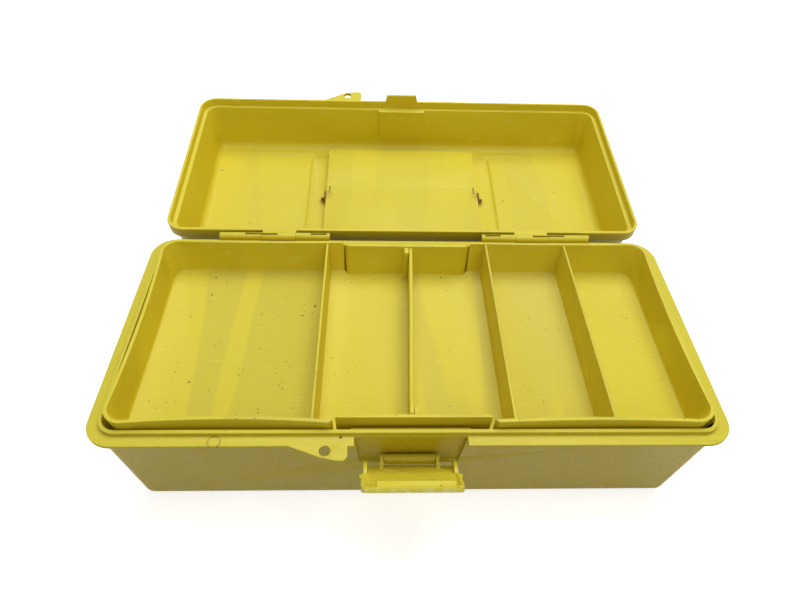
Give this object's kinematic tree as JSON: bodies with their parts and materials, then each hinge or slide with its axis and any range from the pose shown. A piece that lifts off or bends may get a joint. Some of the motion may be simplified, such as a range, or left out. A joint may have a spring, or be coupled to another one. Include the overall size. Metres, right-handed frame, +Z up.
{
  "type": "fishing tackle box",
  "caption": "Moulded plastic tackle box with a hinged lid, a folding carry handle, a front latch and a lift-out tray with dividers.",
  "frame": {"origin": "centre of the tub's flat underside", "axes": "+Z up, +X to the right seen from the latch side, +Y from the latch side to the hinge side"},
  "size_m": [0.356, 0.3667, 0.1046],
  "materials": {
    "yellow_tub": "moulded, finely stippled outside, smooth inside",
    "yellow_lid": "moulded, smooth inside",
    "yellow_tray": "moulded, smooth, scuffed",
    "yellow_latch": "moulded, smooth, worn glossy",
    "pin_steel": "dull drawn wire",
    "rusty_steel": "brown rust"
  },
  "bodies": {
    "tub": {"base_tub": "yellow_tub", "hinge_pin_left": "pin_steel", "hinge_pin_right": "pin_steel", "latch_pivot_pin": "pin_steel"},
    "lid": {"lid_shell": "yellow_lid", "handle_pivot_pin_left": "rusty_steel", "handle_pivot_pin_right": "rusty_steel", "handle_clip_left": "rusty_steel", "handle_clip_right": "rusty_steel"},
    "tray": {"lift_out_tray": "yellow_tray"},
    "divider": {"tray_divider": "yellow_tray"},
    "latch": {"front_latch": "yellow_latch"},
    "handle": {"carry_handle": "yellow_latch"}
  },
  "joints": [
    {"name": "lid_hinge", "type": "hinge", "parent": "tub", "child": "lid", "pos_m": [0, 0.0846, 0.0808], "axis": [-1, 0, 0], "range_deg": [-174, 0]},
    {"name": "latch_pivot", "type": "hinge", "parent": "tub", "child": "latch", "pos_m": [-0.0016, -0.0766, 0.055], "axis": [1, 0, 0], "range_deg": [-45.5, 54.5]},
    {"name": "tray_lift", "type": "slide", "parent": "tub", "child": "tray", "axis": [0, 0, 1], "range_m": [0, 0.07]},
    {"name": "divider_lift", "type": "slide", "parent": "tray", "child": "divider", "axis": [0, 0, 1], "range_m": [0, 0.03]},
    {"name": "handle_pivot", "type": "hinge", "parent": "lid", "child": "handle", "pos_m": [0, 0.17331, 0.04608], "axis": [1, 0, 0], "range_deg": [-84, 96]}
  ]
}
